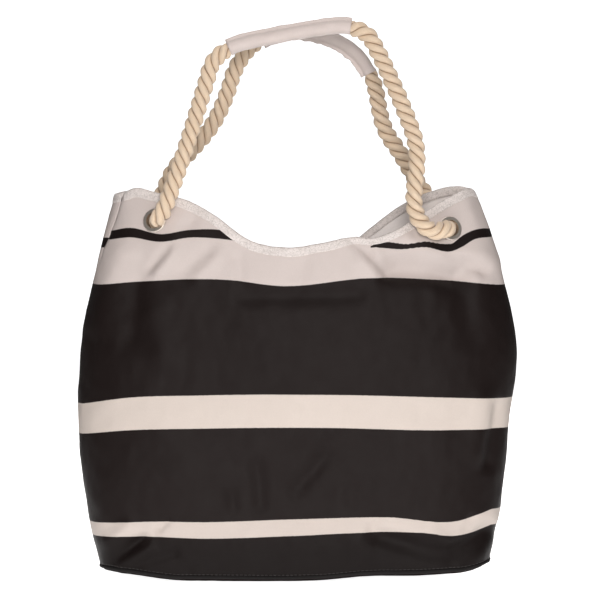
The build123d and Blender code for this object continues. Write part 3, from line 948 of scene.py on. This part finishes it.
def make_base():
    """Flat bottom cloth with its edge turned up to the seam, the round piping, and the base lining."""
    line, out = foot_loop()
    middle = np.array([line[:, 0].mean(), 0.0, 0.0])
    rings = []
    for share, height in ((0.0, 0.0004), (0.3, 0.0), (0.6, 0.0), (0.82, 0.0), (0.93, 0.0), (0.975, 0.0004)):
        ring = middle + (line - middle) * share
        edge = ease((share - 0.75) / 0.2)
        ring[:, 2] = height + lift_at(ring) * (1 - edge) + (line[:, 2] - BASE_SEAM) * edge
        rings.append(ring)
    for inset, share in ((0.003, 0.16), (0.0014, 0.45), (0.0009, 0.8), (0.0012, 1.0)):
        ring = line - out * inset
        ring[:, 2] = line[:, 2] - BASE_SEAM * (1 - share)
        rings.append(ring)
    ruck = noise_field(np.array(rings), (0.03, 0.03, 0.03), 12)
    shell = np.array(rings)
    shell[..., 2] += 0.0004 * (ruck + 1) * (np.arange(len(rings)) < 6)[:, None]
    shell[..., 2] -= shell[..., 2].min()
    inner = shell[::-1].copy()
    inner[..., 2] += 0.0012
    inner[:4] -= out * 0.0012
    both = np.concatenate([shell, inner])
    count = len(line)
    points = both[1:-1].reshape(-1, 3).tolist()
    rows = len(both) - 2
    faces = grid_faces(rows, count, flip=True, wrap=True)
    low = len(points)
    points += [both[0].mean(0).tolist(), both[-1].mean(0).tolist()]
    last = (rows - 1) * count
    for k in range(count):
        n = (k + 1) % count
        faces += [[low, k, n], [low + 1, last + n, last + k]]
    cloth = new_mesh("base_panel_cloth", points, faces, BASE_CLOTH)
    add_uv(cloth, "cloth", np.array(points)[:, :2])
    stand_in(cloth, "base_panel")

    ahead = loop_frames(line)
    up = np.array([0.0, 0.0, 1.0])
    sections = []
    ripple = 0.0002 * noise_field(line, (0.008, 0.008, 0.008), 13)
    radius = PIPING_RADIUS + ripple
    for a in np.arange(PIPING_SIDES) * 2 * math.pi / PIPING_SIDES:
        beside = out * (math.cos(a) * radius)[:, None]
        sections.append(line - out * 0.0004 + beside + up * math.sin(a) * radius[:, None])
    piping = loft("base_piping_cord", np.stack(sections, 1), PIPING_CLOTH, closed=True, flip=True)
    stand_in(piping, "base_piping")

    floor_line, floor_out = foot_loop(LINING_DEPTH + 0.001)
    rings = []
    for share in (0.25, 0.5, 0.72, 0.88, 0.96, 1.0):
        ring = middle + (floor_line - middle) * share
        ring[:, 2] = lift_at(ring) + 0.0034 + 0.0016 * ease((share - 0.7) / 0.3)
        ring[:, 2] += 0.0007 * noise_field(ring, (0.045, 0.035, 1), 14)
        rings.append(ring)
    points = np.array(rings).reshape(-1, 3).tolist()
    faces = grid_faces(len(rings), count, flip=False, wrap=True)
    low = len(points)
    points.append([middle[0], middle[1], points[0][2]])
    faces += [[low, k, (k + 1) % count] for k in range(count)]
    floor = new_mesh("base_lining_cloth", points, faces, LINING_CLOTH)
    add_uv(floor, "cloth", np.array(points)[:, :2])
    thicken(floor, LINING_THICK, 1.0, even=False)
    stand_in(floor, "base_lining")

    for side in SIDES:
        s = np.linspace(0.004, 0.996, 320)
        rise = np.full_like(s, 0.0075)
        row_line, row_normal = sample(side, s, rise, 0.0)
        row = stitch_row(f"{side}_base_stitches", row_line, row_normal, DARK_THREAD)
        dress(row)


def make_seam(end):
    """Tape bound over a side seam, between the canvas and the lining."""
    t = np.linspace(0.01, 0.955, 90)
    sections = []
    for depth, spread in ((0.0016, (-1, -0.5, 0, 0.5, 1)), (0.0023, (1, 0.5, 0, -0.5, -1))):
        for place in spread:
            side = "front" if place >= 0 else "back"
            s = np.full_like(t, abs(place) * 0.0125)
            s = s if end == "left" else 1 - s
            point, _ = sample(side, s, t, depth)
            sections.append(point)
    tape = loft(f"{end}_seam_tape", np.stack(sections, 1), TAPE_CLOTH, flip=end == "left")
    stand_in(tape, f"{end}_side_seam")


make_base()
for end in ENDS:
    make_seam(end)


# ---------------------------------------------------------------- ropes, knots and grips
STRAND_SEGMENTS = 28
KNOT_STEPS = 190
KNOT_START = 0.32
KNOT_SHARE = 0.9
KNOT_REACH = 0.0098
KNOT_WAVE = 0.005
KNOT_BEHIND = 0.0225
KNOT_DROP = 0.004
KNOT_SIZE = 0.68


def rope_mesh(name, line, size, start_turn=0.0, lay=ROPE_LAY):
    """Three-strand rope along a line; size scales its cross-section at each point."""
    along = line_length(line)
    tangent, side, up = line_frames(line)
    count = 3 * STRAND_SEGMENTS
    angle = 2 * math.pi * np.arange(count) / count
    lobe = (angle + math.pi / 3) % (2 * math.pi / 3) - math.pi / 3
    reach = ROPE_CORE * np.cos(lobe) + np.sqrt(STRAND_RADIUS ** 2 - (ROPE_CORE * np.sin(lobe)) ** 2)
    strand_turn = np.arctan2(reach * np.sin(lobe), reach * np.cos(lobe) - ROPE_CORE) / (2 * math.pi)
    number = ((angle + math.pi / 3) // (2 * math.pi / 3)) % 3
    twist = start_turn - 2 * math.pi * along / lay
    around = angle[None, :] + twist[:, None]
    yarns = np.cos(2 * math.pi * (YARNS * strand_turn[None, :] + along[:, None] / YARN_LAY))
    distance = np.broadcast_to(along[:, None], around.shape)
    spots = np.stack([distance, number[None, :] * 0.1 + around * 0, around * 0], -1)
    slack = 0.00025 * noise_field(spots[:, ::STRAND_SEGMENTS], (0.021, 0.05, 1), 20)
    slack = np.repeat(slack, STRAND_SEGMENTS, axis=1)
    slack = np.roll(slack, -(STRAND_SEGMENTS // 2), axis=1) * np.cos(lobe * 1.5)[None, :]
    rough = 0.00014 * yarns * np.cos(lobe * 1.4)[None, :] + slack
    radius = (reach[None, :] + rough) * np.asarray(size)[:, None]
    shape = (line[:, None, :] + side[:, None, :] * (np.cos(around) * radius)[..., None]
             + up[:, None, :] * (np.sin(around) * radius)[..., None])
    rings = len(line)
    points = shape.reshape(-1, 3).tolist() + [line[0].tolist(), line[-1].tolist()]
    faces = grid_faces(rings, count, wrap=True)
    low, last = rings * count, (rings - 1) * count
    for k in range(count):
        n = (k + 1) % count
        faces += [[low, n, k], [low + 1, last + k, last + n]]
    thing = new_mesh(name, points, faces, ROPE)
    turn = np.broadcast_to(strand_turn[None, :], around.shape)
    strand = np.stack([turn, distance], -1).reshape(-1, 2)
    add_uv(thing, "strand", np.concatenate([strand, [[0, 0], [0, along[-1]]]]))
    # Nearness to the groove between two strands, which the rope material darkens as painted shade, and each
    # strand's number.
    groove = np.stack([np.broadcast_to((np.abs(lobe) / (math.pi / 3)) ** 3, around.shape),
                       np.broadcast_to(number[None, :] * 3.7, around.shape)], -1).reshape(-1, 2)
    add_uv(thing, "groove", np.concatenate([groove, [[0.9, 0], [0.9, 0]]]))
    return thing


def grip_mask(side, line):
    """1 where a handle's rope is inside its grip sleeve."""
    low, high = GRIP_SPAN[side]
    inside = ease((line[:, 0] - low) / 0.01 + 0.5) * ease((high - line[:, 0]) / 0.01 + 0.5)
    return inside * (line[:, 2] > GRIP_LOWEST)


def knot_line(side, end):
    """Line of the knot in the rope's end, behind its eyelet: a three-lobed winding, open for its tail."""
    seat, out = (np.array(v) for v in SEATS[side, end])
    angle = np.linspace(KNOT_START, KNOT_START + 2 * math.pi * KNOT_SHARE, KNOT_STEPS)
    across = unit(np.cross(out, (0.0, 0.0, 1.0)))
    down = np.cross(out, across)
    centre = seat - out * KNOT_BEHIND - np.array([0, 0, KNOT_DROP])
    reach = KNOT_REACH + KNOT_WAVE * np.cos(3 * angle)
    line = centre + across * (reach * np.cos(2 * angle))[:, None] + down * (reach * np.sin(2 * angle))[:, None]
    return line + out * (KNOT_WAVE * 0.95 * np.sin(3 * angle))[:, None]


def make_handle(side):
    """One handle: its rope, grip sleeve, sleeve stitches and stopper knots."""
    line = handle_line(side)
    mask = grip_mask(side, line)
    holes = [np.linalg.norm(line - np.array(SEATS[side, end][0]), axis=1) for end in ENDS]
    pinch = sum(np.exp(-(gap / 0.0065) ** 2) for gap in holes)
    rope = rope_mesh(f"{side}_rope", line, 1.0 - GRIP_SQUEEZE * mask - 0.16 * pinch)
    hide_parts(f"{side}_handle_rope")
    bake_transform(rope)

    grip = np.nonzero(mask > 0.5)[0]
    path = line[grip[0]:grip[-1] + 1]
    sleeve, rows = make_grip(side, path)
    for end in ENDS:
        size = np.full(KNOT_STEPS, KNOT_SIZE)
        knot = rope_mesh(f"{side}_{end}_stopper_knot", knot_line(side, end), size, 0.4, ROPE_LAY * KNOT_SIZE)
        stand_in(knot, f"{side}_{end}_knot")


def make_grip(side, path):
    """Cloth sleeve round the rope, with its stitched edge standing out as a fin."""
    along = line_length(path)
    tangent, _, _ = line_frames(path)
    up = np.array([0.0, 0.0, 1.0]) if side == "front" else np.array([-0.25, -0.15, -1.0])
    fin_way = unit(up - tangent * (tangent @ up)[:, None])
    aside = np.cross(tangent, fin_way)
    end_gap = np.minimum(along, along[-1] - along)
    flare = 0.0006 * np.exp(-(end_gap / 0.004) ** 2)
    spots = np.stack([along, along * 0, along * 0], -1)
    fin_height = GRIP_FIN + (0.0005 if side == "front" else 0.0018) * noise_field(spots, (0.0065, 1, 1), 30)
    wave = (0.0005 if side == "front" else 0.002) * noise_field(spots, (0.007, 1, 1), 31)
    shape = []
    opening = 0.09
    for k in range(41):
        turn = math.pi / 2 + 2 * math.pi * (opening + (1 - 2 * opening) * k / 40)
        marks = np.stack([along, along * 0 + turn * 0.006, along * 0], -1)
        rough = 0.0006 * noise_field(marks, (0.0075, 0.01, 1), 32)
        rough += 0.0005 * noise_field(marks, (0.022, 0.012, 1), 33)
        radius = GRIP_RADIUS + flare + rough
        beside = aside * (math.cos(turn) * radius)[:, None]
        shape.append(path + beside + fin_way * (math.sin(turn) * radius)[:, None])
    base = GRIP_RADIUS * 0.93
    fins = []
    for sign in (1, -1):
        edge = []
        for thick, share in ((0.0016, 0.0), (0.0009, 0.22), (0.0008, 0.62), (0.0006, 1.0)):
            height = base + fin_height * share
            edge.append(path + aside * (sign * thick + wave * share)[:, None] + fin_way * height[:, None])
        fins.append(edge)
    rings = np.stack([*shape, *fins[0], *fins[1][::-1]], 1)
    count = rings.shape[1]
    faces = grid_faces(len(path), count, wrap=True)
    sleeve = new_mesh(f"{side}_grip_sleeve", rings.reshape(-1, 3), faces, GRIP_CLOTH)
    add_uv(sleeve, "cloth", length_uv(along, line_length(rings[len(path) // 2])))
    thicken(sleeve, 0.0005)
    stand_in(sleeve, f"{side}_sleeve", f"{side}_handle")
    rows = []
    for sign, word in ((1, "near"), (-1, "far")):
        beside = aside * (sign * 0.0009 + wave * 0.45)[:, None]
        line = path + beside + fin_way * (base + fin_height * 0.45)[:, None]
        name = f"{side}_grip_{word}_stitches"
        row = stitch_row(name, line, aside * sign, PALE_THREAD, 0.0028, 0.0009, 0.00028)
        dress(row, f"{side}_handle")
        rows.append(row)
    return sleeve, rows


for side in SIDES:
    make_handle(side)


# ---------------------------------------------------------------- studio
# Each light is its name, its place, its width and its power.
LIGHTS = (
    ("key", (0.12, -3.5, 0.95), 0.9, 73.0),
    ("fill", (0.5, -1.9, 2.4), 1.2, 16.0),
    ("top", (0.0, 0.2, 3.0), 2.0, 16.0),
    ("back", (0.0, 2.6, 1.3), 2.0, 22.0),
)
SWEEP_FRONT = -1.2
SWEEP_CURVE = 6.6
SWEEP_RADIUS = 0.9
SWEEP_SIDE = 3.0
SWEEP_TOP = 3.0


def make_studio():
    """White sweep and large soft lights."""
    points, faces = [], []
    profile = [(SWEEP_FRONT, 0.0), (-SWEEP_FRONT, 0.0), (SWEEP_CURVE, 0.0)]
    for a in np.linspace(0.15, math.pi / 2, 12):
        profile.append((SWEEP_CURVE + SWEEP_RADIUS * math.sin(a), SWEEP_RADIUS * (1 - math.cos(a))))
    profile.append((SWEEP_CURVE + SWEEP_RADIUS, SWEEP_TOP))
    for y, z in profile:
        points += [(-SWEEP_SIDE, y, z), (SWEEP_SIDE, y, z)]
    faces = [[2 * k, 2 * k + 1, 2 * k + 3, 2 * k + 2] for k in range(len(profile) - 1)]
    made, tree, shader = new_material("white_sweep", Roughness=0.9)
    place = put(tree, "TexCoord").outputs["Object"]
    tree.links.new(mix(tree, noise_value(tree, place, 2.0), (0.86, 0.86, 0.86), (0.9, 0.9, 0.9)),
                   shader.inputs["Base Color"])
    parts = put(tree, "SeparateXYZ", None, Vector=place).outputs
    # The bright part gets wider with distance.
    across = calc(tree, "MULTIPLY_ADD", calc(tree, "MAXIMUM", parts[1], 0.0), -0.06,
                  calc(tree, "ABSOLUTE", parts[0]))
    glow = calc(tree, "MULTIPLY", calc(tree, "SUBTRACT", 1.0, step(tree, across, 0.42, 0.62)), 0.98)
    shader.inputs["Emission Color"].default_value = (1.0, 1.0, 1.0, 1.0)
    tree.links.new(glow, shader.inputs["Emission Strength"])
    sweep = new_mesh("sweep", points, faces, made)
    for name, place, size, power in LIGHTS:
        data = bpy.data.lights.new(name, "AREA")
        data.shape = "DISK"
        data.size = size
        data.energy = power
        data.color = (1.0, 0.965, 0.945)
        lamp = bpy.data.objects.new(name, data)
        lamp.visible_camera = False
        lamp.location = place
        aim = Vector((0.0, 0.0, 0.25)) - Vector(place)
        lamp.rotation_euler = aim.to_track_quat("-Z", "Y").to_euler()
        bpy.context.scene.collection.objects.link(lamp)
    world = bpy.data.worlds.new("studio")
    bpy.context.scene.world = world
    world.use_nodes = True
    sky = world.node_tree.nodes["Background"]
    sky.inputs["Color"].default_value = (1.0, 0.985, 0.975, 1.0)
    sky.inputs["Strength"].default_value = 0.1
    bpy.context.scene.view_settings.view_transform = "Standard"


make_studio()
